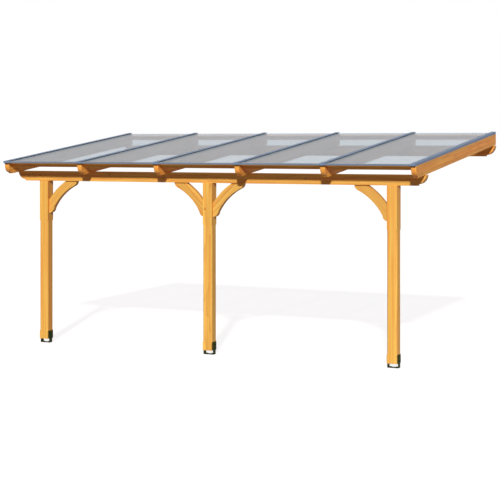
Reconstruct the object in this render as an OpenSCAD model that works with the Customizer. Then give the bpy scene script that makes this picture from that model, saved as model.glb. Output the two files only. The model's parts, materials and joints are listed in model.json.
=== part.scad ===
// Wall-mounted timber patio cover: three posts on steel shoes carry a front purlin, a wall
// purlin is bolted to the house, and six sloping rafters carry five translucent roof panels
// that are clamped by aluminium cover bars. Millimetres, +Z up, X along the wall, the front
// towards -Y. The origin is the middle of the wall purlin's back face, in the wall's plane.

/* [Layout] */
// Spacing of the rafters, centre to centre
bay_pitch = 1070; // [900:10:1200]
// Reach of the rafters from the wall to their front ends
rafter_reach = 2980; // [2000:10:3500]
// How far the rafters run on past the front purlin's face
eaves_overhang = 300; // [150:10:500]
// Fall of the roof towards the front, in degrees
roof_fall = 7; // [4:0.5:12]
// Clear height under the front purlin
head_room = 2028; // [1900:1:2400]

/* [Posts] */
// Width of a post, along the wall
post_w = 120; // [90:5:160]
// Depth of a post, away from the wall
post_d = 120; // [90:5:160]
// Width that each chamfer takes off the faces beside a post's arris
post_chamfer = 14; // [5:1:20]
// Distance from a brace's lower end to the top end of the chamfers
chamfer_brace_gap = 100; // [20:5:150]
// Distance from a shoe's upper edge to the bottom end of the chamfers
chamfer_shoe_gap = 10; // [10:1:100]
// Distance from the front purlin's end to the centre of an outer post
post_inset = 392; // [250:1:600]
// Clear gap between the ground and the foot of a post
post_foot_gap = 50; // [30:5:120]

/* [Post shoes] */
// Thickness of the steel plate
shoe_t = 6; // [4:1:10]
// Height that the cheeks lap up the post
shoe_lap = 100; // [60:5:160]
// Width of a cheek where it laps the post
shoe_cheek_w = 95; // [70:5:100]
// Width of the base plate and of the cheeks below the post
shoe_neck_w = 60; // [40:5:70]
// Corner radius of the cheeks
shoe_corner_r = 15; // [4:1:20]
// Diameter of the anchor holes in the base plate
anchor_hole_d = 12; // [8:1:16]
// Spacing of the two anchor holes
anchor_spacing = 70; // [50:5:80]

/* [Purlins] */
// Height of the front purlin
front_purlin_h = 122; // [100:1:180]
// Depth of the front purlin
front_purlin_d = 90; // [60:5:140]
// Height of the wall purlin
wall_purlin_h = 137; // [110:1:220]
// Depth of the wall purlin
wall_purlin_d = 90; // [50:5:140]
// How far the purlins run on past the outer rafters
purlin_end_reach = 5; // [0:1:60]
// Height of the step at the start of the quarter round under each purlin end
purlin_end_step = 17; // [5:1:60]
// Diameter of the wall bolt holes
wall_bolt_d = 11; // [8:1:16]
// Spacing of the two rows of wall bolts
wall_bolt_rows = 75; // [50:5:80]

/* [Rafters] */
// Width of a rafter
rafter_w = 60; // [45:5:100]
// Depth of a rafter, square to the slope
rafter_h = 138; // [100:2:200]
// Depth of the level seat that is cut into a rafter at each purlin's front face
rafter_seat = 1.5; // [0.5:0.5:8]
// Radius of the quarter round under a rafter's front end
rafter_nose_r = 80; // [15:1:100]
// Height of the step behind that quarter round
rafter_nose_step = 13; // [5:1:35]

/* [Boards] */
// Thickness of the closing boards between the rafters
board_t = 20; // [12:1:30]
// Height of the front closing boards
front_board_h = 52; // [30:1:90]
// Distance from the rafters' front ends to the front boards
front_board_setback = 60; // [20:5:120]
// Height of the back closing boards
back_board_h = 64; // [30:1:95]
// How far the back boards' tops lie below the rafters' tops
back_board_drop = 6; // [0:1:12]

/* [Knee braces] */
// Length of a brace along the post and along the purlin
brace_leg = 401; // [340:1:480]
// Thickness of a brace
brace_t = 60; // [40:5:70]
// Setback of a brace's face from the front purlin's face
brace_setback = 20; // [5:1:20]
// Width of a brace between its two curved edges
brace_band = 107; // [80:1:140]
// Radius of the hollow lower edge
brace_arc_r = 650; // [500:10:900]
// Distance from the inner corner to the middle of the lower edge
brace_throat = 259; // [240:1:280]
// Shift of the curves' common centre off the diagonal, towards the post and down
brace_centre_shift = 5; // [0:1:10]
// Radius of the round nose at each end
brace_nose_r = 65; // [30:1:80]

/* [Roof panels] */
// Thickness of a roof panel
panel_t = 10; // [6:1:32]
// Room for expansion between a panel's side and the web of its bar
panel_gap = 5; // [2:1:10]
// How far the panels run on past the rafters' front ends
panel_overhang = 30; // [10:1:80]
// Gap between the wall and the panels, left open for a wall flashing
panel_wall_gap = 80; // [10:5:120]

/* [Cover bars] */
// Width of a cover bar
bar_w = 60; // [50:2:80]
// Thickness of the foot strip that the panels lie on
bar_foot_t = 12; // [3:1:16]
// Thickness of the web between two panels
bar_web_t = 10; // [6:1:14]
// Height of the cap above the panels
bar_cap_t = 7; // [5:1:25]
// Radius of the cap's upper edges
bar_cap_r = 2; // [1:0.5:4]
// Thickness of the outer leg of the two edge bars
bar_leg_t = 4; // [2:1:6]
// Room for the end cap in front of a bar
bar_end_room = 3; // [1:0.5:5]
// Gap between the wall and the bars
bar_wall_gap = 5; // [2:1:30]

/* [Edge profiles] */
// Wall thickness of the profile that closes a panel's end
edge_t = 1.5; // [1:0.5:3]
// Depth of the profile over the panel's end
edge_depth = 25; // [15:1:40]
// How far the front profile's outer leg hangs below the profile, as a drip edge
drip_drop = 5.5; // [0.5:0.5:8]
// Gap between an edge profile and the bars beside it
edge_gap = 1; // [0.5:0.5:5]

/* [Hidden] */
$fn = 96;
// Bays between the rafters
bays = 5;
rafters = bays + 1;
// Half of the whole width, to the outer faces of the outer rafters
roof_half = bays * bay_pitch / 2 + rafter_w / 2;
// Half of the length of a purlin
purlin_half_l = roof_half + purlin_end_reach;
// Centres of the outer posts
post_x = purlin_half_l - post_inset;
// Front face of the front purlin
front_y = eaves_overhang - rafter_reach;
// Centre of the posts' depth, under the middle of the front purlin
post_y = front_y + front_purlin_d / 2;
// Distance of a chamfer's face from the arris it replaces
chamfer_depth = post_chamfer / sqrt(2);
// Ends of the full chamfer, above the ground
chamfer_bottom = post_foot_gap + shoe_lap + chamfer_shoe_gap;
chamfer_top = head_room - brace_leg - chamfer_brace_gap;
// Rise of the roof over each millimetre towards the wall
rise = tan(roof_fall);
// Top of the front purlin, above the ground
front_purlin_top = head_room + front_purlin_h;
// Depth of a rafter measured plumb
rafter_plumb = rafter_h / cos(roof_fall);
// Underside and top of the rafters at a distance y from the wall, above the ground
function under(y) = front_purlin_top - rafter_seat + (y - front_y) * rise;
function over(y) = under(y) + rafter_plumb;
// Top of the wall purlin, its underside and the origin's height, above the ground
wall_purlin_top = under(-wall_purlin_d) + rafter_seat;
wall_purlin_bottom = wall_purlin_top - wall_purlin_h;
origin_z = (wall_purlin_bottom + wall_purlin_top) / 2;
// Distance of the curves' centre from the inner corner, along the post and the purlin
brace_centre = (brace_throat + brace_arc_r) / sqrt(2);
// Ends of the roof covering along the slope, from the rafters' front ends
cover_start = -panel_overhang - edge_t;
cover_end = (rafter_reach - panel_wall_gap) / cos(roof_fall);
// Ends of the cover bars along the slope
bar_start = cover_start + bar_end_room;
bar_end = (rafter_reach - bar_wall_gap) / cos(roof_fall);
// Size of one roof panel
panel_w = bay_pitch - bar_web_t - 2 * panel_gap;
panel_l = cover_end - edge_t + panel_overhang;
// Levels in the roof covering, square to the slope from the rafters' tops
panel_z = bar_foot_t;
cap_z = panel_z + panel_t;
bar_h = cap_z + bar_cap_t;
// Places of the wall bolts along the wall, in the middles of the bays
wall_bolt_x = [for (i = [0 : bays - 1]) (i - (bays - 1) / 2) * bay_pitch];
// Width of a shoe over both cheeks
shoe_w = post_w + 2 * shoe_t;
// Overlap that makes a cut run through a face
through = 1;

wood_light = "#e9aa55";
wood_side = "#c98a45";
wood_dark = "#a86c35";
sheet_grey = "#b9c2cc";
bar_grey = "#66707f";
edge_grey = "#8b8f9b";
shoe_black = "#2c3020";

POSTS = ["left", "middle", "right"];
BRACES = ["left_post", "middle_left", "middle_right", "right_post"];

// Centre of a rafter, and the middle of a bay, counted from the left
function rafter_x(i) = (i - (rafters + 1) / 2) * bay_pitch;
function bay_x(i) = (i - (bays + 1) / 2) * bay_pitch;
// Centre of a post, counted from the left
function post_at(i) = (i - 1) * post_x;

// Moves a piece from heights above the ground to the origin at the wall
module sited() {
    translate([0, 0, -origin_z]) children();
}

// Extrudes an outline drawn in Y and Z along X, centred on x
module along_x(x, length) {
    translate([x, 0, 0]) rotate([90, 0, 90]) linear_extrude(length, center = true) children();
}

// Extrudes an outline drawn in X and Z along Y, from y_front towards the wall
module along_y(y_front, length) {
    translate([0, y_front + length, 0]) rotate([90, 0, 0]) linear_extrude(length) children();
}

// Puts a piece on the slope: y runs up the slope from the rafters' front ends, z = 0 is
// the plane of the rafters' tops
module on_slope() {
    translate([0, -rafter_reach, over(-rafter_reach)]) rotate([roof_fall, 0, 0]) children();
}

// The waste under an end that is cut with a quarter round: the outline's end is at x = 0,
// the round starts at height y = 0 and the step behind it goes down to y = -step
module end_waste(r, step) {
    difference() {
        translate([-r, -step - through]) square([r + through, step + r + through]);
        translate([-r, r]) circle(r);
    }
}

// A rectangle with four round corners, centred on x = 0 and standing on y = 0
module round_plate(w, h, r) {
    translate([-w / 2, r]) square([w, h - 2 * r]);
    translate([r - w / 2, 0]) square([w - 2 * r, h]);
    for (x = [r - w / 2, w / 2 - r])
        for (y = [r, h - r])
            translate([x, y]) circle(r);
}

// The waste of one stopped chamfer, which runs out at each end; x = 0 is the arris and +x
// points away from the post
module chamfer_waste() {
    run_out = chamfer_depth + through;
    rotate([90, 0, 0])
        linear_extrude(2 * post_chamfer, center = true)
            polygon([
                [-chamfer_depth, chamfer_bottom],
                [through, chamfer_bottom - run_out],
                [through, chamfer_top + run_out],
                [-chamfer_depth, chamfer_top]
            ]);
}

// Post, from the shoe to the underside of the front purlin, with stopped chamfers between
// the shoe and the braces
module post(i) {
    color(wood_light)
        sited()
            translate([post_at(i), post_y, 0])
                difference() {
                    translate([-post_w / 2, -post_d / 2, post_foot_gap])
                        cube([post_w, post_d, head_room - post_foot_gap]);
                    for (x = [-1, 1], y = [-1, 1])
                        translate([x * post_w / 2, y * post_d / 2, 0])
                            rotate([0, 0, atan2(y, x)])
                                chamfer_waste();
                }
}

// U-shaped steel shoe: a base plate on the ground and two cheeks that lap the post
module post_shoe(i) {
    color(shoe_black)
        sited()
            translate([post_at(i), post_y, 0])
                difference() {
                    union() {
                        translate([-shoe_w / 2, -shoe_neck_w / 2, 0])
                            cube([shoe_w, shoe_neck_w, shoe_t]);
                        for (side = [-1, 1])
                            along_x(side * (post_w + shoe_t) / 2, shoe_t)
                                shoe_cheek();
                    }
                    for (side = [-1, 1])
                        translate([side * anchor_spacing / 2, 0, -through])
                            cylinder(d = anchor_hole_d, h = shoe_t + 2 * through);
                }
}

module shoe_cheek() {
    translate([-shoe_neck_w / 2, 0]) square([shoe_neck_w, post_foot_gap + shoe_lap / 2]);
    translate([0, post_foot_gap]) round_plate(shoe_cheek_w, shoe_lap, shoe_corner_r);
}

// Right half of a purlin, from the middle to its end with a step and a quarter round
module purlin_half(y_front, depth, bottom, height) {
    along_y(y_front, depth)
        difference() {
            translate([0, bottom]) square([purlin_half_l, height]);
            translate([purlin_half_l, bottom + purlin_end_step])
                end_waste(height - purlin_end_step, purlin_end_step);
        }
}

// Half of the front purlin; the halves meet over the middle post
module front_purlin(side) {
    color(wood_light)
        sited()
            mirror([side < 0 ? 1 : 0, 0, 0])
                purlin_half(front_y, front_purlin_d, head_room, front_purlin_h);
}

// Wall purlin in one length, with two rows of bolt holes
module wall_purlin() {
    color(wood_dark)
        sited()
            difference() {
                for (side = [0, 1])
                    mirror([side, 0, 0])
                        purlin_half(-wall_purlin_d, wall_purlin_d, wall_purlin_bottom,
                            wall_purlin_h);
                for (x = wall_bolt_x)
                    for (row = [-1, 1])
                        translate([x, through, origin_z + row * wall_bolt_rows / 2])
                            rotate([90, 0, 0])
                                cylinder(d = wall_bolt_d, h = wall_purlin_d + 2 * through);
            }
}

// Outline of a brace: the inner corner is at the origin, the post runs down, the purlin right
module brace_outline() {
    run = brace_leg - brace_nose_r;
    curved = run + brace_nose_r / 2;
    intersection() {
        translate([0, -curved]) square(curved);
        translate([brace_centre - brace_centre_shift, -brace_centre - brace_centre_shift])
            difference() {
                circle(brace_arc_r + brace_band, $fn = 240);
                circle(brace_arc_r, $fn = 240);
            }
    }
    intersection() {
        translate([0, -brace_leg]) square(brace_leg);
        union() {
            translate([run, 0]) circle(brace_nose_r);
            translate([0, -run]) circle(brace_nose_r);
        }
    }
}

// Curved knee brace on one side of a post, a little behind the front purlin's face
module knee_brace(i, side) {
    color(wood_light)
        sited()
            translate([post_at(i) + side * post_w / 2, 0, head_room])
                mirror([side < 0 ? 1 : 0, 0, 0])
                    along_y(front_y + brace_setback, brace_t)
                        brace_outline();
}

// Level seat in a rafter's underside, on the purlin whose front face is at y_front
module seat_waste(y_front, purlin_d) {
    translate([y_front, under(y_front) - through])
        square([purlin_d, rafter_seat + through]);
}

// Side outline of a rafter: plumb ends, two seats, a step and a quarter round in front
module rafter_outline() {
    nose_z = under(rafter_nose_r - rafter_reach) + rafter_nose_step;
    difference() {
        polygon([
            [-rafter_reach, under(-rafter_reach)],
            [0, under(0)],
            [0, over(0)],
            [-rafter_reach, over(-rafter_reach)]
        ]);
        seat_waste(front_y, front_purlin_d);
        seat_waste(-wall_purlin_d, wall_purlin_d + through);
        translate([-rafter_reach, nose_z])
            mirror([1, 0, 0])
                end_waste(rafter_nose_r, nose_z - under(-rafter_reach));
    }
}

module rafter(i) {
    color(wood_side)
        sited()
            along_x(rafter_x(i), rafter_w)
                rafter_outline();
}

// Closing board between two rafters, its top planed to the slope of the rafters' tops
module board(i, y_front, height, drop) {
    bottom = over(y_front) - drop - height;
    color(wood_dark)
        sited()
            along_x(bay_x(i), bay_pitch - rafter_w)
                polygon([
                    [y_front, bottom],
                    [y_front + board_t, bottom],
                    [y_front + board_t, over(y_front + board_t) - drop],
                    [y_front, over(y_front) - drop]
                ]);
}

// Translucent multi-wall roof panel, lying on the feet of the bars beside it
module roof_panel(i) {
    color(sheet_grey)
        sited()
            on_slope()
                translate([bay_x(i) - panel_w / 2, -panel_overhang, panel_z])
                    cube([panel_w, panel_l, panel_t]);
}

// Section of a cover bar: foot, web and cap
module bar_section() {
    translate([-bar_w / 2, 0]) square([bar_w, bar_foot_t]);
    translate([-bar_web_t / 2, 0]) square([bar_web_t, cap_z + bar_cap_t / 2]);
    translate([-bar_w / 2, cap_z]) square([bar_w, bar_cap_t - bar_cap_r]);
    translate([bar_cap_r - bar_w / 2, cap_z]) square([bar_w - 2 * bar_cap_r, bar_cap_t]);
    for (side = [-1, 1])
        translate([side * (bar_w / 2 - bar_cap_r), bar_h - bar_cap_r]) circle(bar_cap_r);
}

// Leg that closes the outer side of an edge bar
module bar_leg(side) {
    translate([side * (bar_w - bar_leg_t) / 2 - bar_leg_t / 2, 0])
        square([bar_leg_t, cap_z + bar_cap_t / 2]);
}

module cover_bar(i) {
    color(bar_grey)
        sited()
            on_slope()
                translate([rafter_x(i), 0, 0])
                    along_y(bar_start, bar_end - bar_start) {
                        bar_section();
                        if (i == 1) bar_leg(-1);
                        if (i == rafters) bar_leg(1);
                    }
}

// U-shaped profiles that close the panels' ends, one in each bay between the bars; the
// outer leg of the front ones hangs down as a drip edge
module edge_profile(at_wall) {
    y_outer = at_wall ? cover_end - edge_depth : cover_start;
    y_inner = at_wall ? cover_end - edge_depth - through : -panel_overhang;
    color(edge_grey)
        sited()
            on_slope()
                for (i = [1 : bays])
                    along_x(bay_x(i), bay_pitch - bar_w - 2 * edge_gap) {
                        difference() {
                            translate([y_outer, panel_z - edge_t])
                                square([edge_depth, panel_t + 2 * edge_t]);
                            translate([y_inner, panel_z])
                                square([edge_depth - edge_t + through, panel_t]);
                        }
                        if (!at_wall)
                            translate([cover_start, panel_z - edge_t - drip_drop])
                                square([edge_t, drip_drop + edge_t]);
                    }
}

for (i = [0 : len(POSTS) - 1]) {
    post(i);
    post_shoe(i);
}
front_purlin(-1);  // front_purlin_left
front_purlin(1);  // front_purlin_right
wall_purlin();
knee_brace(0, 1);  // knee_brace_left_post
knee_brace(1, -1);  // knee_brace_middle_left
knee_brace(1, 1);  // knee_brace_middle_right
knee_brace(2, -1);  // knee_brace_right_post
for (i = [1 : rafters]) {
    rafter(i);
    cover_bar(i);
}
for (i = [1 : bays]) {
    board(i, front_board_setback - rafter_reach, front_board_h, 0);
    board(i, -board_t, back_board_h, back_board_drop);
    roof_panel(i);
}
edge_profile(false);  // front_edge_profile
edge_profile(true);  // back_edge_profile
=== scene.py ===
"""Finishes and fine pieces of a timber patio cover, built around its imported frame."""

import json
import math

import bmesh
import bpy
from mathutils import Matrix, Vector


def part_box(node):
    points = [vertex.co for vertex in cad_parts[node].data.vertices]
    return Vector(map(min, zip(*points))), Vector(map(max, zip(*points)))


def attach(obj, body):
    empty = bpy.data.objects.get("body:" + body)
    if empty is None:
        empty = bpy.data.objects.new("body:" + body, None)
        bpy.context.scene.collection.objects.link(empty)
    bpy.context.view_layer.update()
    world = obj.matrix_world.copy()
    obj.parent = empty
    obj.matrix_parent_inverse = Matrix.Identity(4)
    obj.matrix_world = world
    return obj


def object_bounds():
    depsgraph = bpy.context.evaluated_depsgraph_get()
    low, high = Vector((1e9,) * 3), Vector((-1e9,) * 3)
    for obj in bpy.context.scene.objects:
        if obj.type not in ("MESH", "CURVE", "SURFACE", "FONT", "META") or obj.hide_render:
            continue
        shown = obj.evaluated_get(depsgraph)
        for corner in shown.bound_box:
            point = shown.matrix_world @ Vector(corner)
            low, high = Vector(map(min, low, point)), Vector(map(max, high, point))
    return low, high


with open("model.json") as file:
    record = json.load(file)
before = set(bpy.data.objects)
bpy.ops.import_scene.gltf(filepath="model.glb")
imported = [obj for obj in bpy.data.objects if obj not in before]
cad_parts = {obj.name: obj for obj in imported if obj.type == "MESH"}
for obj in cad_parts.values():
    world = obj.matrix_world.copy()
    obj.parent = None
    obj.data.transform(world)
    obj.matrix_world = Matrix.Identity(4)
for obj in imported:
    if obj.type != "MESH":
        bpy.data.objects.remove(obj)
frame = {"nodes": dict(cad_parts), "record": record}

bl_info = {
    "name": "Patio cover finishes",
    "version": (1, 0, 0),
    "blender": (4, 5, 0),
    "location": "3D View > Sidebar > Patio cover",
    "description": "Dresses the frame of a timber patio cover with its finishes and fixings",
    "category": "Object",
}

NODES = frame["nodes"]
MOUNTS = {mount["name"]: mount for mount in frame["record"]["mounts"]}
CAD_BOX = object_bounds()
BODY = "root"
MM = 0.001

# Plate that closes a cover bar's front end, and the strip under the bar that it stands on
END_PLATE = 1.8 * MM
FOOT_STRIP = 5 * MM

# Hexagon fixings: width across flats and height of the head, radius and thickness of the washer
ROOF_SCREW = (8 * MM, 5 * MM, 8 * MM, 1.5 * MM)
SHOE_BOLT = (17 * MM, 7 * MM, 15 * MM, 2.5 * MM)
ANCHOR_NUT = (17 * MM, 7 * MM, 13 * MM, 2 * MM)
WALL_NUT = (17 * MM, 8 * MM, 17 * MM, 3 * MM)

# Size along X, Y and Z of the specks of a plain surface and of the marks that a die draws,
# along Y on a bar and along X on an edge profile. Real ones are finer and wouldn't show
SPECK = (3.33 * MM, 3.33 * MM, 3.33 * MM)
BAR_MARK = (1.43 * MM, 83.3 * MM, 1.43 * MM)
EDGE_MARK = (83.3 * MM, 1.43 * MM, 1.43 * MM)

# Kinds of shader nodes that the materials use most
MATHS = "ShaderNodeMath"
VECTOR_MATHS = "ShaderNodeVectorMath"
MIX = "ShaderNodeMix"
MIX_SHADER = "ShaderNodeMixShader"
RANGE = "ShaderNodeMapRange"
NOISE = "ShaderNodeTexNoise"

POSTS = [name for name in NODES if name.startswith("post_") and "shoe" not in name]
SHOES = [name for name in NODES if name.startswith("post_shoe_")]
PURLINS = [name for name in NODES if name.endswith(("purlin_left", "purlin_right"))]
WALL_PURLIN = "wall_purlin"
BRACES = [name for name in NODES if name.startswith("knee_brace_")]
RAFTERS = [name for name in NODES if name.startswith("rafter_")]
BOARDS = [name for name in NODES if "_board_" in name]
PANELS = [name for name in NODES if name.startswith("roof_panel_")]
BARS = sorted(name for name in NODES if name.startswith("cover_bar_"))
FRONT_PROFILE, BACK_PROFILE = "front_edge_profile", "back_edge_profile"


# ---------------------------------------------------------------- measures from the frame


def roof_turn():
    """Rotation that carries level coordinates onto the roof's slope."""
    top = max(NODES[PANELS[0]].data.polygons, key=lambda face: face.area * (face.normal.z > 0))
    fall = math.atan2(-top.normal.y, top.normal.z)
    return Matrix.Rotation(fall, 4, "X")


ROOF = roof_turn()


def slope_box(node):
    """Lowest and highest corner of a node, measured along and square to the slope."""
    level = ROOF.inverted()
    points = [level @ vertex.co for vertex in NODES[node].data.vertices]
    low = Vector(min(point[axis] for point in points) for axis in range(3))
    high = Vector(max(point[axis] for point in points) for axis in range(3))
    return low, high


def middle(node):
    """Centre of a node's box."""
    low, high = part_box(node)
    return (low + high) / 2


# ---------------------------------------------------------------- colours and materials


def linear(hex_colour):
    """Linear RGB of an sRGB colour written as #RRGGBB."""
    channels = [int(hex_colour[i:i + 2], 16) / 255 for i in (1, 3, 5)]
    return [c / 12.92 if c <= 0.04045 else ((c + 0.055) / 1.055) ** 2.4 for c in channels]


def rgba(colour):
    """A linear colour with full opacity, as colour sockets take it."""
    return (*colour, 1.0)


def add_node(tree, kind, inputs=None, **settings):
    """Adds a node. inputs maps a socket's name or number to a value, to another node's socket,
    or to another node, which then feeds it from the first output that is in use."""
    node = tree.nodes.new(kind)
    for key, value in settings.items():
        setattr(node, key, value)
    for key, value in (inputs or {}).items():
        if isinstance(value, bpy.types.Node):
            value = next(socket for socket in value.outputs if socket.enabled)
        if isinstance(value, bpy.types.NodeSocket):
            tree.links.new(value, node.inputs[key])
        else:
            node.inputs[key].default_value = value
    return node


def new_material(name):
    """A material without a surface, and its node tree."""
    material = bpy.data.materials.new(name)
    material.use_nodes = True
    material.node_tree.nodes.clear()
    return material, material.node_tree


def spruce(name, along, stack, lamella, start, board_length, timber, cast):
    """Planed, glued spruce under a honey-coloured stain.

    To the eye: straight fibre streaks from yellow to orange, arcs of late wood on the end
    grain, one tone to each glued lamella, a few brown knots and a low, even sheen.
    along and stack are unit vectors: the grain's direction and the way lamellas lie on
    each other. start is where a lamella begins along stack, board_length the step at which
    its boards change along the grain, and cast what red, green and blue are multiplied by."""
    material, tree = new_material(name)
    position = add_node(tree, "ShaderNodeTexCoord").outputs["Object"]
    height, side, length = (
        add_node(tree, VECTOR_MATHS, {0: position, 1: direction}, operation="DOT_PRODUCT")
        for direction in (stack, along.cross(stack), along))
    grain = add_node(tree, "ShaderNodeCombineXYZ", {0: height, 1: side, 2: length})

    # Width, length and detail of what runs along the grain. Real fibres are finer still, and
    # are drawn wide enough to roughen the sheen from a few metres away
    fields = {"bends": (333.3 * MM, 1430 * MM, 2.0), "streaks": (16.67 * MM, 1110 * MM, 3.0),
              "patches": (111 * MM, 1670 * MM, 2.0), "fibres": (2.38 * MM, 111 * MM, 1.0)}
    noise = {}
    for field, (width, run, detail) in fields.items():
        scaled = add_node(tree, VECTOR_MATHS, {0: grain, 1: (width, width, run)},
                          operation="DIVIDE")
        noise[field] = add_node(tree, NOISE, {"Vector": scaled, "Scale": 1.0, "Detail": detail})

    # Every lamella, every board length and every timber further aside has its own luck
    aside = 450 * MM
    raised = add_node(tree, VECTOR_MATHS, {0: grain, 1: (start, 0, 0)}, operation="SUBTRACT")
    place = add_node(tree, VECTOR_MATHS, {0: raised, 1: (lamella, aside, board_length)},
                     operation="DIVIDE")
    piece = add_node(tree, VECTOR_MATHS, {0: place}, operation="FLOOR")
    luck = add_node(tree, "ShaderNodeTexWhiteNoise", {"Vector": piece},
                    noise_dimensions="3D").outputs["Color"]

    # The pith lies outside the lamella, so the rings cross its faces as nearly straight lines.
    # Rings of 3 mm would be lost from a few metres away, so they are drawn 8 mm apart
    ring_spacing, bend_reach, pith_scatter = 8 * MM, 50 * MM, (160 * MM, 300 * MM, 0)
    section = add_node(tree, VECTOR_MATHS, {0: grain, 1: (1, 1, 0)}, operation="MULTIPLY")
    shift = add_node(tree, VECTOR_MATHS, {0: luck, 1: (0.5, 0.5, 0.5)}, operation="SUBTRACT")
    from_pith = add_node(tree, VECTOR_MATHS, {0: shift, 1: pith_scatter, 2: section},
                         operation="MULTIPLY_ADD")
    radius = add_node(tree, VECTOR_MATHS, {0: from_pith}, operation="LENGTH")
    bend = add_node(tree, MATHS, {0: noise["bends"], 1: 0.5}, operation="SUBTRACT")
    bent = add_node(tree, MATHS, {0: bend, 1: bend_reach, 2: radius}, operation="MULTIPLY_ADD")
    turns = add_node(tree, MATHS, {0: bent, 1: ring_spacing}, operation="DIVIDE")
    ring = add_node(tree, MATHS, {0: turns}, operation="FRACT")
    late_wood = add_node(tree, RANGE, {"Value": ring, "From Min": 0.45, "From Max": 0.95,
                                       "To Max": 0.35})

    # One cell of wood in four holds a knot. A face cuts about two of them to the square metre,
    # as ovals up to 30 mm wide with their pale rim
    knot_cell, without_knot, knot_depth = (133.3 * MM, 133.3 * MM, 200 * MM), 0.75, 0.55
    scaled = add_node(tree, VECTOR_MATHS, {0: grain, 1: knot_cell}, operation="DIVIDE")
    cells = add_node(tree, "ShaderNodeTexVoronoi",
                     {"Vector": scaled, "Scale": 1.0, "Randomness": 0.9}).outputs
    pick = add_node(tree, "ShaderNodeSeparateColor", {"Color": cells["Color"]})
    rare = add_node(tree, MATHS, {0: pick, 1: without_knot}, operation="GREATER_THAN")
    spot = add_node(tree, RANGE, {"Value": cells["Distance"], "From Min": 0.115,
                                  "From Max": 0.06})
    knot = add_node(tree, MATHS, {0: spot, 1: rare}, operation="MULTIPLY")
    stain = add_node(tree, MATHS, {0: knot, 1: knot_depth}, operation="MULTIPLY")

    # Glue lines between the lamellas, about 2 mm wide and a little darker than the wood
    level = add_node(tree, "ShaderNodeSeparateXYZ", {"Vector": place})
    within = add_node(tree, MATHS, {0: level}, operation="FRACT")
    off_middle = add_node(tree, MATHS, {0: within, 1: 0.5}, operation="SUBTRACT")
    to_edge = add_node(tree, MATHS, {0: off_middle}, operation="ABSOLUTE")
    glue = add_node(tree, RANGE, {"Value": to_edge, "From Min": 0.47, "From Max": 0.495,
                                  "To Max": 0.25})

    # Honey wood with amber streaks, straw patches and dark late wood, in each board's own tone
    streaks = add_node(tree, RANGE, {"Value": noise["streaks"], "From Min": 0.40,
                                     "From Max": 0.60})
    patches = add_node(tree, RANGE, {"Value": noise["patches"], "From Min": 0.35,
                                     "From Max": 0.65, "To Max": 0.35})
    colour = rgba(timber.honey)
    for share, over in ((streaks, timber.amber), (patches, timber.straw),
                        (late_wood, timber.late_wood)):
        colour = add_node(tree, MIX, {0: share, 6: colour, 7: rgba(over)}, data_type="RGBA")
    own_tone = add_node(tree, "ShaderNodeSeparateColor", {"Color": luck}).outputs["Blue"]
    darkest, tone_spread = 0.90, 0.16
    tone = add_node(tree, MATHS, {0: own_tone, 1: tone_spread, 2: darkest},
                    operation="MULTIPLY_ADD")
    shade = add_node(tree, VECTOR_MATHS, {0: cast, "Scale": tone}, operation="SCALE")
    colour = add_node(tree, MIX, {0: 1.0, 6: colour, 7: shade}, data_type="RGBA",
                      blend_type="MULTIPLY")
    for share, over in ((stain, timber.knot), (glue, timber.late_wood)):
        colour = add_node(tree, MIX, {0: share, 6: colour, 7: rgba(over)}, data_type="RGBA")

    # Fibres and streaks stand up a little after planing, knots and glue lines lie lower
    raised_grain = add_node(tree, MATHS, {0: noise["fibres"], 1: 0.5, 2: streaks},
                            operation="MULTIPLY_ADD")
    hollows = add_node(tree, MATHS, {0: knot, 1: glue}, operation="ADD")
    relief = add_node(tree, MATHS, {0: raised_grain, 1: hollows}, operation="SUBTRACT")
    bump = add_node(tree, "ShaderNodeBump",
                    {"Strength": 0.25, "Distance": 0.6 * MM, "Height": relief})
    smoothest, rough_spread = 0.50, 0.12
    rough = add_node(tree, MATHS, {0: noise["fibres"], 1: rough_spread, 2: smoothest},
                     operation="MULTIPLY_ADD")
    surface = add_node(tree, "ShaderNodeBsdfPrincipled",
                       {"Base Color": colour, "Normal": bump, "Roughness": rough,
                        "IOR": 1.5, "Specular IOR Level": 0.3})
    add_node(tree, "ShaderNodeOutputMaterial", {"Surface": surface})
    return material


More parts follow.
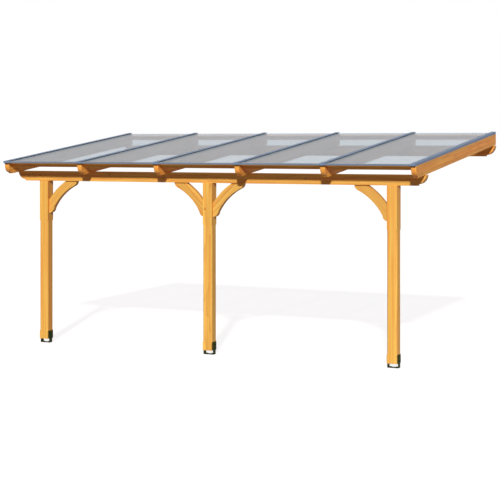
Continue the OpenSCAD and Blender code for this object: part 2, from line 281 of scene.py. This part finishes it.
def smoke_polycarbonate(name, roof, haze_share):
    """Extruded polycarbonate, faintly smoke grey.

    To the eye: a sheet that mirrors its surroundings where it is seen nearly edge on and
    shows what lies behind it elsewhere, with a slight haze and thin, slightly denser lines
    where the inner ribs run up the slope."""
    material, tree = new_material(name)
    cloud_width, rib_haze, cloud_haze, sun_scatter = 400 * MM, 0.12, 0.06, 0.45
    edge_on_mirror, face_on_mirror = 0.72, 0.04
    position = add_node(tree, "ShaderNodeTexCoord").outputs["Object"]
    across = add_node(tree, "ShaderNodeSeparateXYZ", {"Vector": position})
    ribs = add_node(tree, MATHS, {0: across, 1: roof.rib_spacing}, operation="DIVIDE")
    within = add_node(tree, MATHS, {0: ribs}, operation="FRACT")
    off_middle = add_node(tree, MATHS, {0: within, 1: 0.5}, operation="SUBTRACT")
    to_rib = add_node(tree, MATHS, {0: off_middle}, operation="ABSOLUTE")
    rib = add_node(tree, RANGE, {"Value": to_rib, "From Min": 0.40, "From Max": 0.48})
    clouds = add_node(tree, NOISE, {"Vector": position, "Scale": 1 / cloud_width,
                                    "Detail": 2.0})
    ribbed = add_node(tree, MATHS, {0: rib, 1: rib_haze, 2: haze_share},
                      operation="MULTIPLY_ADD")
    cloudy = add_node(tree, MATHS, {0: clouds, 1: cloud_haze, 2: ribbed},
                      operation="MULTIPLY_ADD")
    # The inner ribs scatter the sun, so a panel casts a deeper shadow than it looks through
    shadow = add_node(tree, "ShaderNodeLightPath").outputs["Is Shadow Ray"]
    scattered = add_node(tree, MATHS, {0: shadow, 1: sun_scatter, 2: cloudy},
                         operation="MULTIPLY_ADD")
    haze = add_node(tree, "ShaderNodeBsdfPrincipled",
                    {"Base Color": rgba(roof.sheet_colour), "Roughness": 0.4, "IOR": 1.58,
                     "Specular IOR Level": 0.0})
    clear = add_node(tree, "ShaderNodeBsdfTransparent", {"Color": rgba(roof.tint)})
    body = add_node(tree, MIX_SHADER, {0: scattered, 1: clear, 2: haze})
    # Both faces of a sheet mirror alike, so the mirror's share follows the view angle as in
    # Schlick's rule, a little weaker edge on because the skins are wavy
    edge_on = add_node(tree, "ShaderNodeLayerWeight", {"Blend": 0.5}).outputs["Facing"]
    steep = add_node(tree, MATHS, {0: edge_on, 1: 5.0}, operation="POWER")
    mirror = add_node(tree, MATHS, {0: steep, 1: edge_on_mirror, 2: face_on_mirror},
                      operation="MULTIPLY_ADD")
    bump = add_node(tree, "ShaderNodeBump",
                    {"Strength": 0.05, "Distance": 0.2 * MM, "Height": rib})
    gloss = add_node(tree, "ShaderNodeBsdfGlossy",
                     {"Color": rgba(roof.gloss_colour), "Roughness": 0.06, "Normal": bump})
    sheet = add_node(tree, MIX_SHADER, {0: mirror, 1: body, 2: gloss})
    add_node(tree, "ShaderNodeOutputMaterial", {"Surface": sheet})
    return material


def one_colour(name, colour, metallic, roughness, mark=SPECK, relief=0.0, sheen=0.5):
    """A metal, a coat or a rubber in one colour, with wide patches that are faintly darker.
    mark gives the size of its fine marks along X, Y and Z, relief the share of 0.2 mm that
    they are deep, and sheen how strongly the surface shines."""
    material, tree = new_material(name)
    patch_width, patch_shade, rough_spread = 250 * MM, 0.78, 0.18
    position = add_node(tree, "ShaderNodeTexCoord").outputs["Object"]
    scaled = add_node(tree, VECTOR_MATHS, {0: position, 1: mark}, operation="DIVIDE")
    marks = add_node(tree, NOISE, {"Vector": scaled, "Scale": 1.0, "Detail": 3.0})
    patches = add_node(tree, NOISE, {"Vector": position, "Scale": 1 / patch_width,
                                     "Detail": 3.0})
    darker = [channel * patch_shade for channel in colour]
    tint = add_node(tree, MIX, {0: patches, 6: rgba(darker), 7: rgba(colour)},
                    data_type="RGBA")
    rough = add_node(tree, MATHS, {0: marks, 1: rough_spread, 2: roughness - rough_spread / 2},
                     operation="MULTIPLY_ADD")
    bump = add_node(tree, "ShaderNodeBump",
                    {"Strength": relief, "Distance": 0.2 * MM, "Height": marks})
    surface = add_node(tree, "ShaderNodeBsdfPrincipled",
                       {"Base Color": tint, "Metallic": metallic, "Roughness": rough,
                        "Specular IOR Level": sheen, "Normal": bump})
    add_node(tree, "ShaderNodeOutputMaterial", {"Surface": surface})
    return material


# ---------------------------------------------------------------- meshes


def finish_piece(name, mesh, material):
    """Closes a bmesh as an object that rides on the cover."""
    bmesh.ops.recalc_face_normals(mesh, faces=mesh.faces)
    data = bpy.data.meshes.new(name)
    mesh.to_mesh(data)
    mesh.free()
    data.materials.append(material)
    piece = bpy.data.objects.new(name, data)
    bpy.context.scene.collection.objects.link(piece)
    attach(piece, BODY)


def add_turned(mesh, profile, place, sides):
    """Adds a turned solid: profile lists (radius, height) up the axis, from axis to axis."""
    rings = []
    for radius, height in profile:
        if radius == 0:
            rings.append([mesh.verts.new(place @ Vector((0, 0, height)))])
            continue
        angles = [math.tau * (i + 0.5) / sides for i in range(sides)]
        points = [(radius * math.cos(a), radius * math.sin(a), height) for a in angles]
        rings.append([mesh.verts.new(place @ Vector(point)) for point in points])
    for below, above in zip(rings, rings[1:]):
        for i in range(sides):
            j = (i + 1) % sides
            corners = [below[i % len(below)], below[j % len(below)],
                       above[j % len(above)], above[i % len(above)]]
            mesh.faces.new(list(dict.fromkeys(corners)))


def add_extrusion(mesh, outline, place, length):
    """Adds a prism: outline lists (x, z), drawn out along +Y from place."""
    ends = [[mesh.verts.new(place @ Vector((x, y, z))) for x, z in outline] for y in (0, length)]
    count = len(outline)
    for i in range(count):
        j = (i + 1) % count
        mesh.faces.new([ends[0][i], ends[0][j], ends[1][j], ends[1][i]])
    mesh.faces.new(ends[0])
    mesh.faces.new(list(reversed(ends[1])))


def add_hex_bolt(mesh, place, flats, head, washer_radius, washer):
    """Adds a hexagon head on a round washer, standing up from place along its Z."""
    disc = [(0, 0), (washer_radius, 0), (washer_radius, washer), (0, washer)]
    add_turned(mesh, disc, place, sides=24)
    corner = flats / math.sqrt(3)
    shoulder, top_radius, top = washer + 0.75 * head, 0.86 * corner, washer + head
    hexagon = [(0, washer), (corner, washer), (corner, shoulder), (top_radius, top), (0, top)]
    add_turned(mesh, hexagon, place, sides=6)


def dress(node, material, arris=0.0):
    """Gives a CAD node its finish, and rounds its edges where arris is set."""
    piece = NODES[node]
    piece.data.materials.clear()
    piece.data.materials.append(material)
    if arris:
        weld = piece.modifiers.new("weld", "WELD")
        weld.merge_threshold = 0.01 * MM
        round_edges = piece.modifiers.new("arris", "BEVEL")
        round_edges.width = arris
        round_edges.segments = 2
        round_edges.limit_method = "ANGLE"
        round_edges.angle_limit = math.radians(30)


def facing(direction, point):
    """Placement at a point with its Z along a direction."""
    turn = Vector(direction).to_track_quat("Z", "Y").to_matrix().to_4x4()
    return Matrix.Translation(point) @ turn


# ---------------------------------------------------------------- settings


class TimberSettings(bpy.types.PropertyGroup):
    """Colours and edges of the timber."""

    honey: bpy.props.FloatVectorProperty(
        name="Honey", description="Light streaks of the stained spruce",
        subtype="COLOR", size=3, min=0, max=1, default=linear("#F8BA58"))
    amber: bpy.props.FloatVectorProperty(
        name="Amber", description="Deep streaks of the stained spruce",
        subtype="COLOR", size=3, min=0, max=1, default=linear("#F09A44"))
    straw: bpy.props.FloatVectorProperty(
        name="Straw", description="Pale patches of the stained spruce",
        subtype="COLOR", size=3, min=0, max=1, default=linear("#F6C361"))
    late_wood: bpy.props.FloatVectorProperty(
        name="Late wood", description="Dark side of the yearly rings",
        subtype="COLOR", size=3, min=0, max=1, default=linear("#CC762C"))
    knot: bpy.props.FloatVectorProperty(
        name="Knot", description="Knots in the wood",
        subtype="COLOR", size=3, min=0, max=1, default=linear("#96501E"))
    arris: bpy.props.FloatProperty(
        name="Arris", description="Width of the rounded edges",
        subtype="DISTANCE", unit="LENGTH", min=0, max=0.01, default=3 * MM)


class RoofSettings(bpy.types.PropertyGroup):
    """Panels, bars and edge profiles of the roof covering."""

    sheet_colour: bpy.props.FloatVectorProperty(
        name="Sheet", description="Colour of the haze in the roof panels",
        subtype="COLOR", size=3, min=0, max=1, default=linear("#7A838A"))
    tint: bpy.props.FloatVectorProperty(
        name="Tint", description="Colour that one face of a panel gives to what lies behind it",
        subtype="COLOR", size=3, min=0, max=1, default=linear("#F6FAFD"))
    gloss_colour: bpy.props.FloatVectorProperty(
        name="Gloss", description="Colour of the mirror image in a panel",
        subtype="COLOR", size=3, min=0, max=1, default=linear("#D3D8DD"))
    haze: bpy.props.FloatProperty(
        name="Haze", description="Share of light that one face of a panel scatters",
        subtype="FACTOR", min=0, max=1, default=0.10)
    rib_spacing: bpy.props.FloatProperty(
        name="Rib spacing", description="Distance between the inner ribs of a panel",
        subtype="DISTANCE", unit="LENGTH", min=0.005, max=0.05, default=20 * MM)
    bar_colour: bpy.props.FloatVectorProperty(
        name="Bars", description="Colour of the cover bars",
        subtype="COLOR", size=3, min=0, max=1, default=linear("#7F90AE"))
    edge_colour: bpy.props.FloatVectorProperty(
        name="Edge profiles", description="Colour of the profiles on the panels' ends",
        subtype="COLOR", size=3, min=0, max=1, default=linear("#79869A"))
    seal_colour: bpy.props.FloatVectorProperty(
        name="Seals", description="Colour of the seals under and beside the bars",
        subtype="COLOR", size=3, min=0, max=1, default=linear("#141516"))
    screw_spacing: bpy.props.FloatProperty(
        name="Screw spacing", description="Distance between the screws along a bar",
        subtype="DISTANCE", unit="LENGTH", min=0.1, max=0.6, default=300 * MM)


class FixingSettings(bpy.types.PropertyGroup):
    """Steel shoes, bolts and screws."""

    # The olive green of this colour is a painted reflection of grass
    shoe_colour: bpy.props.FloatVectorProperty(
        name="Shoes", description="Colour of the post shoes",
        subtype="COLOR", size=3, min=0, max=1, default=linear("#333A12"))
    zinc_colour: bpy.props.FloatVectorProperty(
        name="Zinc", description="Colour of the bolts and screws",
        subtype="COLOR", size=3, min=0, max=1, default=linear("#A9ABA6"))


class StageSettings(bpy.types.PropertyGroup):
    """Camera, light and floor."""

    aside: bpy.props.FloatProperty(
        name="Camera aside",
        description="Distance of the camera to the right of the cover's middle",
        subtype="DISTANCE", unit="LENGTH", default=7.926)
    away: bpy.props.FloatProperty(
        name="Camera away", description="Distance of the camera in front of the front purlin",
        subtype="DISTANCE", unit="LENGTH", default=14.925)
    eye: bpy.props.FloatProperty(
        name="Eye height", description="Height of the camera above the ground",
        subtype="DISTANCE", unit="LENGTH", default=2.498)
    turn: bpy.props.FloatProperty(
        name="Camera turn", description="Turn of the level camera to the left of straight ahead",
        subtype="ANGLE", unit="ROTATION", default=math.radians(26.28))
    lens: bpy.props.FloatProperty(
        name="Lens", description="Focal length in millimetres on a sensor 36 mm wide",
        min=10, max=300, default=102.9)
    drop: bpy.props.FloatProperty(
        name="Lens shift", description="Share of the picture by which the view is shifted down",
        min=0, max=0.5, default=0.2136)
    key: bpy.props.FloatProperty(
        name="Key light", description="Strength of the key light",
        min=0, default=3.5)
    key_colour: bpy.props.FloatVectorProperty(
        name="Key colour", description="Colour of the key light",
        subtype="COLOR", size=3, min=0, max=1, default=linear("#F7FFFA"))
    key_from: bpy.props.FloatVectorProperty(
        name="Key from", description="Direction in which the key light stands",
        subtype="DIRECTION", size=3, default=(0.40, -1.0, 0.54))
    key_spread: bpy.props.FloatProperty(
        name="Key spread", description="Angle that the key light fills, for soft shadow edges",
        subtype="ANGLE", unit="ROTATION", min=0, default=math.radians(3))
    fill: bpy.props.FloatProperty(
        name="Fill light", description="Strength of the light from all around",
        min=0, default=0.155)
    fill_colour: bpy.props.FloatVectorProperty(
        name="Fill colour", description="Colour of the light from all around",
        subtype="COLOR", size=3, min=0, max=1, default=linear("#FFECF1"))
    floor_colour: bpy.props.FloatVectorProperty(
        name="Floor", description="Colour that the floor gives back to the cover",
        subtype="COLOR", size=3, min=0, max=1, default=linear("#978D8E"))
    floor_glow: bpy.props.FloatProperty(
        name="Floor glow", description="Brightness that the floor has where it is seen",
        min=0, max=1, default=0.88)


# ---------------------------------------------------------------- operators


class PATIO_OT_timber(bpy.types.Operator):
    """Give every timber its stained spruce, with the grain along it"""

    bl_idname = "patio.timber"
    bl_label = "Timber"

    def execute(self, context):
        timber = context.scene.patio_timber
        up, right = Vector((0, 0, 1)), Vector((1, 0, 0))
        slope_up, slope_out = ROOF.to_3x3() @ Vector((0, 1, 0)), ROOF.to_3x3() @ up
        post_low, post_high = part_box(POSTS[0])
        # Tints of the timbers, which took the stain as wood from several batches does. The
        # reddish tint of the rafters, boards and wall purlin also paints the redder shade of
        # their shaded and side faces
        plain, yellowish = (1.0, 1.0, 1.0), (0.99, 1.045, 1.02)
        reddish_painted_shade, dull = (1.07, 0.93, 0.84), (0.92, 0.95, 0.98)
        # Boards and braces are solid wood, which counts as one thick lamella
        stock = {
            "spruce_post": (POSTS, dict(
                along=up, stack=right, lamella=(post_high.x - post_low.x) / 3,
                start=post_low.x, board_length=5.0, cast=yellowish)),
            "spruce_front_purlin": (PURLINS, dict(
                along=right, stack=up, lamella=38 * MM,
                start=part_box(PURLINS[0])[0].z, board_length=CAD_BOX[1][0], cast=plain)),
            "spruce_wall_purlin": ([WALL_PURLIN], dict(
                along=right, stack=up, lamella=36 * MM,
                start=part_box(WALL_PURLIN)[0].z, board_length=3.1, cast=reddish_painted_shade)),
            "spruce_rafter": (RAFTERS, dict(
                along=slope_up, stack=slope_out, lamella=46 * MM,
                start=slope_box(RAFTERS[0])[0].z, board_length=5.0, cast=reddish_painted_shade)),
            "spruce_board": (BOARDS, dict(
                along=right, stack=up, lamella=0.5, start=-1.0, board_length=5.0,
                cast=reddish_painted_shade)),
        }
        for name, (nodes, cut) in stock.items():
            material = spruce(name, timber=timber, **cut)
            for node in nodes:
                dress(node, material, timber.arris)
        for side, lean in (("left", -1), ("right", 1)):
            along = Vector((lean, 0, 1)).normalized()
            material = spruce(f"spruce_brace_{side}", timber=timber, along=along,
                              stack=along.cross(Vector((0, 1, 0))), lamella=0.5, start=-5.0,
                              board_length=9.0, cast=dull)
            for node in BRACES:
                nearest = min(POSTS, key=lambda post: abs(middle(post).x - middle(node).x))
                if (middle(node).x - middle(nearest).x) * lean > 0:
                    dress(node, material, timber.arris)
        return {"FINISHED"}


class PATIO_OT_roof_panels(bpy.types.Operator):
    """Give the roof panels their smoke-grey multi-wall sheet"""

    bl_idname = "patio.roof_panels"
    bl_label = "Roof panels"

    def execute(self, context):
        roof = context.scene.patio_roof
        material = smoke_polycarbonate("smoke_multiwall_polycarbonate", roof, roof.haze)
        for node in PANELS:
            dress(node, material)
        return {"FINISHED"}


class PATIO_OT_cover_bars(bpy.types.Operator):
    """Finish the cover bars and add their seals and screws"""

    bl_idname = "patio.cover_bars"
    bl_label = "Cover bars"

    def execute(self, context):
        roof = context.scene.patio_roof
        # Anodised extrusion: a dull grey-blue with faint draw marks along the length
        bar_finish = one_colour("anodised_grey_aluminium", roof.bar_colour, metallic=0.15,
                                roughness=0.55, mark=BAR_MARK, relief=0.15, sheen=0.12)
        # Extruded EPDM: matt black, only faintly shiny. Its strips under the panels and at the
        # bars' front ends also paint the shade of those gaps
        seal_and_shade_finish = one_colour("extruded_epdm_seal", roof.seal_colour, metallic=0.0,
                                 roughness=0.75)
        # Zinc-plated and stainless small parts: light grey, brighter than the bars
        fixings = context.scene.patio_fixings
        zinc = one_colour("zinc_plated_steel", fixings.zinc_colour, metallic=0.8, roughness=0.35)
        for node in BARS:
            dress(node, bar_finish, 0.6 * MM)
        self.add_seals(seal_and_shade_finish)
        self.add_end_caps(bar_finish)
        self.add_screws(zinc, roof.screw_spacing)
        return {"FINISHED"}

    def add_seals(self, material):
        """Black seals: beside every bar a lip on the panels and a strip along its foot, and
        in front the foot strip's end. The foot strips and the front ends are partly painted
        shade:
        their black darkens the shaded gaps under the panels and under the end caps."""
        panel_low, panel_high = slope_box(PANELS[0])
        lip, proud = 3 * MM, 5 * MM
        for number, node in enumerate(BARS):
            low, high = slope_box(node)
            mesh = bmesh.new()
            place = ROOF @ Matrix.Translation((0, low.y, 0))
            outer = {0: -1, len(BARS) - 1: 1}.get(number)
            for side in (-1, 1):
                if side == outer:
                    continue
                edge = low.x if side < 0 else high.x
                # The lip lies on the panel; the black strip along the foot is partly painted
                # shade of the gap
                for foot, top in ((panel_high.z, panel_high.z + lip), (low.z, panel_low.z)):
                    outline = [(edge + side * proud, foot), (edge - side * proud, foot),
                               (edge - side * proud, top), (edge + side * proud, top)]
                    add_extrusion(mesh, outline, place, high.y - low.y)
            # Black front of the foot strip under the end cap: painted shade of the gap there
            top = low.z + FOOT_STRIP
            front = [(low.x, low.z), (high.x, low.z), (high.x, top), (low.x, top)]
            add_extrusion(mesh, front, place, -END_PLATE / 2)
            finish_piece(f"bar_seals_and_painted_shade_{number + 1}", mesh, material)

    def add_end_caps(self, material):
        """Folded plates that close the front ends of the bars above their foot strips."""
        for number, node in enumerate(BARS):
            low, high = slope_box(node)
            corner = 2 * MM
            foot = low.z + FOOT_STRIP
            outline = [(low.x, foot), (high.x, foot), (high.x, high.z - corner),
                       (high.x - corner, high.z), (low.x + corner, high.z),
                       (low.x, high.z - corner)]
            mesh = bmesh.new()
            place = ROOF @ Matrix.Translation((0, low.y, 0))
            add_extrusion(mesh, outline, place, -END_PLATE)
            finish_piece(f"bar_end_cap_{number + 1}", mesh, material)

    def add_screws(self, material, spacing):
        """Hexagon screws with sealing washers along the middle of every bar."""
        end_room = 120 * MM
        for number, node in enumerate(BARS):
            low, high = slope_box(node)
            run = high.y - low.y - 2 * end_room
            count = round(run / spacing)
            mesh = bmesh.new()
            for i in range(count + 1):
                point = ROOF @ Vector(((low.x + high.x) / 2, low.y + end_room + run * i / count,
                                       high.z))
                place = Matrix.Translation(point) @ ROOF
                add_hex_bolt(mesh, place, *ROOF_SCREW)
            finish_piece(f"bar_screws_{number + 1}", mesh, material)


class PATIO_OT_edge_profiles(bpy.types.Operator):
    """Finish the profiles on the panels' ends: aluminium in front, clear at the wall"""

    bl_idname = "patio.edge_profiles"
    bl_label = "Edge profiles"

    def execute(self, context):
        roof = context.scene.patio_roof
        # Mill-finish extrusion: slate grey, softly shiny, drawn along its length
        aluminium = one_colour("mill_finish_aluminium", roof.edge_colour, metallic=0.3,
                               roughness=0.45, mark=EDGE_MARK, relief=0.15)
        dress(FRONT_PROFILE, aluminium, 0.3 * MM)
        dress(BACK_PROFILE, smoke_polycarbonate("clear_polycarbonate_profile", roof, 0.02))
        return {"FINISHED"}


class PATIO_OT_post_shoes(bpy.types.Operator):
    """Finish the post shoes and add their through bolts and anchors"""

    bl_idname = "patio.post_shoes"
    bl_label = "Post shoes"

    def execute(self, context):
        fixings = context.scene.patio_fixings
        # Powder-coated pressed steel: dark, with a fine orange peel and hardly any shine.
        # Its olive green is a painted reflection of grass in the steel
        coat = one_colour("dark_powder_coated_steel", fixings.shoe_colour, metallic=0.0,
                          roughness=0.5, relief=0.2, sheen=0.05)
        for node in SHOES:
            dress(node, coat, 1.0 * MM)
            self.add_bolts(node, coat)
        return {"FINISHED"}

    def add_bolts(self, node, material):
        """Two through bolts, with a head on either cheek, and two anchor nuts on one shoe."""
        low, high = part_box(node)
        post = node.replace("shoe_", "")
        post_low, post_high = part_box(post)
        plate = (high.x - low.x - (post_high.x - post_low.x)) / 2
        anchors = MOUNTS[node.replace("post_shoe_", "") + "_shoe_anchors"]["dims"]
        reach = anchors["spacing_x_mm"] * MM / 2
        centre = middle(node)
        mesh = bmesh.new()
        for rise in (30 * MM, 75 * MM):
            for side, face in ((-1, low.x), (1, high.x)):
                point = Vector((face, centre.y, post_low.z + rise))
                add_hex_bolt(mesh, facing((side, 0, 0), point), *SHOE_BOLT)
        for side in (-1, 1):
            point = Vector((centre.x + side * reach, centre.y, low.z + plate))
            add_hex_bolt(mesh, Matrix.Translation(point), *ANCHOR_NUT)
        finish_piece(node.replace("post_shoe", "shoe_bolts"), mesh, material)


class PATIO_OT_wall_bolts(bpy.types.Operator):
    """Add the washers and nuts of the bolts through the wall purlin"""

    bl_idname = "patio.wall_bolts"
    bl_label = "Wall bolts"

    def execute(self, context):
        zinc = bpy.data.materials["zinc_plated_steel"]
        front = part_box(WALL_PURLIN)[0].y
        mesh = bmesh.new()
        for x, z in self.bolt_places():
            place = facing((0, -1, 0), Vector((x, front, z)))
            add_hex_bolt(mesh, place, *WALL_NUT)
        finish_piece("wall_bolts", mesh, zinc)
        return {"FINISHED"}

    def bolt_places(self):
        """Centres of the holes, from the record's bolt patterns on the wall face."""
        for name, mount in MOUNTS.items():
            if not name.startswith("wall_bolts"):
                continue
            wide = mount["dims"].get("spacing_x_mm", 0) * MM / 2
            tall = mount["dims"]["spacing_y_mm"] * MM / 2
            for x in sorted({-wide, wide}):
                for z in (-tall, tall):
                    yield mount["pos_m"][0] + x, mount["pos_m"][2] + z


class PATIO_OT_stage(bpy.types.Operator):
    """Set up the camera, the floor and the light"""

    bl_idname = "patio.stage"
    bl_label = "Stage"

    def execute(self, context):
        stage = context.scene.patio_stage
        self.add_camera(context, stage)
        self.add_light(context, stage)
        self.add_floor(context, stage)
        self.light_world(context, stage)
        context.scene.view_settings.view_transform = "Standard"
        return {"FINISHED"}

    def add_camera(self, context, stage):
        """A level camera, whose shifted lens keeps the posts upright in view."""
        camera = bpy.data.objects.new("camera", bpy.data.cameras.new("camera"))
        context.scene.collection.objects.link(camera)
        purlin_front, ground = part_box("front_purlin_left")[0].y, CAD_BOX[0][2]
        camera.location = (stage.aside, purlin_front - stage.away, ground + stage.eye)
        camera.rotation_euler = (math.radians(90), 0, stage.turn)
        camera.data.sensor_width = 36
        camera.data.lens = stage.lens
        camera.data.shift_y = -stage.drop
        camera.data.clip_end = 500
        context.scene.camera = camera

    def add_light(self, context, stage):
        """One key light from the front, high on the right."""
        lamp = bpy.data.objects.new("key", bpy.data.lights.new("key", "SUN"))
        context.scene.collection.objects.link(lamp)
        lamp.rotation_euler = Vector(stage.key_from).to_track_quat("Z", "Y").to_euler()
        lamp.data.energy = stage.key
        lamp.data.color = stage.key_colour
        lamp.data.angle = stage.key_spread

    def add_floor(self, context, stage):
        """A floor at ground level, wide enough to meet the white of the world."""
        mesh = bmesh.new()
        reach, ground = 300.0, CAD_BOX[0][2]
        corners = [(-reach, -reach), (reach, -reach), (reach, reach), (-reach, reach)]
        mesh.faces.new([mesh.verts.new((x, y, ground)) for x, y in corners])
        data = bpy.data.meshes.new("floor")
        mesh.to_mesh(data)
        mesh.free()
        floor = bpy.data.objects.new("floor", data)
        context.scene.collection.objects.link(floor)
        data.materials.append(self.floor_finish(stage))

    def floor_finish(self, stage):
        """Pale matt floor that lies bright in view and keeps the cover's shadow."""
        material, tree = new_material("pale_matt_floor")
        matt = add_node(tree, "ShaderNodeBsdfDiffuse", {"Color": rgba(stage.floor_colour)})
        strength = add_node(tree, MATHS, {0: self.seen_directly(tree), 1: stage.floor_glow},
                            operation="MULTIPLY")
        glow = add_node(tree, "ShaderNodeEmission",
                        {"Color": rgba(linear("#FFFFFF")), "Strength": strength})
        both = add_node(tree, "ShaderNodeAddShader", {0: matt, 1: glow})
        add_node(tree, "ShaderNodeOutputMaterial", {"Surface": both})
        return material

    def seen_directly(self, tree):
        """1 for rays that show the background, 0 for rays that light things."""
        path = add_node(tree, "ShaderNodeLightPath").outputs
        shown = add_node(tree, MATHS, {0: path["Is Camera Ray"], 1: path["Is Glossy Ray"]},
                         operation="MAXIMUM")
        return add_node(tree, MATHS, {0: shown, 1: path["Is Transmission Ray"]},
                        operation="MAXIMUM")

    def light_world(self, context, stage):
        """White where the world is seen, and a dim light from all around on everything."""
        world = bpy.data.worlds.new("studio")
        context.scene.world = world
        world.use_nodes = True
        tree = world.node_tree
        tree.nodes.clear()
        fill = add_node(tree, "ShaderNodeBackground",
                        {"Color": rgba(stage.fill_colour), "Strength": stage.fill})
        white = add_node(tree, "ShaderNodeBackground",
                         {"Color": rgba(linear("#FFFFFF")), "Strength": 1.0})
        mixed = add_node(tree, MIX_SHADER, {0: self.seen_directly(tree), 1: fill, 2: white})
        add_node(tree, "ShaderNodeOutputWorld", {"Surface": mixed})


class PATIO_PT_panel(bpy.types.Panel):
    """Lists the cover's operators and settings"""

    bl_idname = "PATIO_PT_panel"
    bl_label = "Patio cover"
    bl_space_type = "VIEW_3D"
    bl_region_type = "UI"
    bl_category = "Patio cover"

    def draw(self, context):
        """Shows each group of settings in a box, then a button for every operator."""
        for settings in (context.scene.patio_timber, context.scene.patio_roof,
                         context.scene.patio_fixings, context.scene.patio_stage):
            box = self.layout.box()
            for key in settings.__annotations__:
                box.prop(settings, key)
        for operator in OPERATORS:
            self.layout.operator(operator.bl_idname)


SETTINGS = {
    "patio_timber": TimberSettings,
    "patio_roof": RoofSettings,
    "patio_fixings": FixingSettings,
    "patio_stage": StageSettings,
}
OPERATORS = (
    PATIO_OT_timber,
    PATIO_OT_roof_panels,
    PATIO_OT_cover_bars,
    PATIO_OT_edge_profiles,
    PATIO_OT_post_shoes,
    PATIO_OT_wall_bolts,
    PATIO_OT_stage,
)


def register():
    """Registers the settings, the operators and the panel."""
    for name, settings in SETTINGS.items():
        bpy.utils.register_class(settings)
        setattr(bpy.types.Scene, name, bpy.props.PointerProperty(type=settings))
    for operator in OPERATORS:
        bpy.utils.register_class(operator)
    bpy.utils.register_class(PATIO_PT_panel)


def unregister():
    """Takes them away again, in the opposite order."""
    bpy.utils.unregister_class(PATIO_PT_panel)
    for operator in reversed(OPERATORS):
        bpy.utils.unregister_class(operator)
    for name, settings in reversed(list(SETTINGS.items())):
        delattr(bpy.types.Scene, name)
        bpy.utils.unregister_class(settings)


def main():
    """Registers the classes and runs every operator in order."""
    register()
    for operator in OPERATORS:
        group, action = operator.bl_idname.split(".")
        getattr(getattr(bpy.ops, group), action)()


if __name__ == "__main__":
    main()
